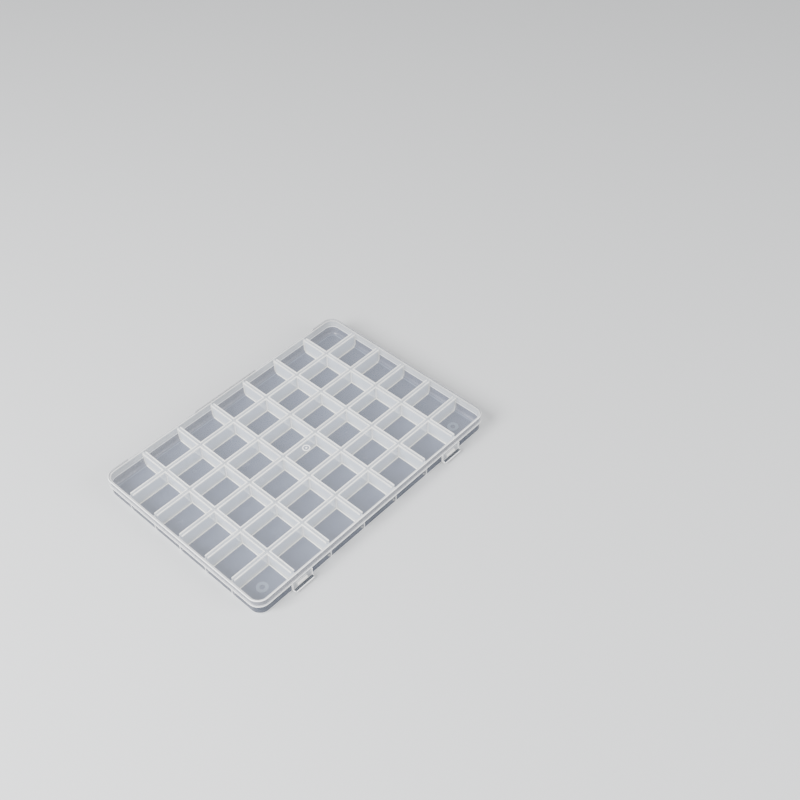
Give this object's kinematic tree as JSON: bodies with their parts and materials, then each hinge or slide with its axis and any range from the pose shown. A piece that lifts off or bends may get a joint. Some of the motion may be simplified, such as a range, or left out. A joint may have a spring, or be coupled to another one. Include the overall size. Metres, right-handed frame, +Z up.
{
  "type": "organizer box",
  "caption": "Flat translucent box with a fixed grid of compartments, one hinged lid over all of them and two snap latches along the front.",
  "frame": {"origin": "centre of the tray's flat underside", "axes": "+X along the long side, -Y towards the latches, +Y towards the hinge, +Z up out of the tray"},
  "size_m": [0.2702, 0.1984, 0.0188],
  "materials": {
    "tray_plastic": "smooth natural polypropylene, milky and see-through",
    "lid_plastic": "smooth natural polypropylene, milky and see-through, glossier than the tray",
    "latch_plastic": "smooth natural polypropylene, milky and see-through"
  },
  "bodies": {
    "tray": {"tray": "tray_plastic", "cross_divider_1": "tray_plastic", "cross_divider_2": "tray_plastic", "cross_divider_3": "tray_plastic", "cross_divider_4": "tray_plastic", "cross_divider_5": "tray_plastic", "cross_divider_6": "tray_plastic", "long_divider_1": "tray_plastic", "long_divider_2": "tray_plastic", "long_divider_3": "tray_plastic", "long_divider_4": "tray_plastic", "long_divider_5": "tray_plastic", "hinge_barrel_left": "tray_plastic", "hinge_barrel_right": "tray_plastic", "catch_left": "tray_plastic", "catch_right": "tray_plastic"},
    "lid": {"lid": "lid_plastic", "lid_ribs": "lid_plastic", "hinge_ear_1": "lid_plastic", "hinge_ear_2": "lid_plastic", "hinge_ear_3": "lid_plastic", "hinge_ear_4": "lid_plastic"},
    "latch_left": {"latch_left": "latch_plastic"},
    "latch_right": {"latch_right": "latch_plastic"}
  },
  "joints": [
    {"name": "lid_hinge", "type": "hinge", "parent": "tray", "child": "lid", "pos_m": [0, 0.0968, 0.0096], "axis": [-1, 0, 0], "range_deg": [0, 180]},
    {"name": "latch_left_flap", "type": "hinge", "parent": "lid", "child": "latch_left", "pos_m": [-0.09, -0.09582, 0.00995], "axis": [-1, 0, 0], "range_deg": [0, 75]},
    {"name": "latch_right_flap", "type": "hinge", "parent": "lid", "child": "latch_right", "pos_m": [0.0868, -0.09582, 0.00995], "axis": [-1, 0, 0], "range_deg": [0, 75]}
  ]
}
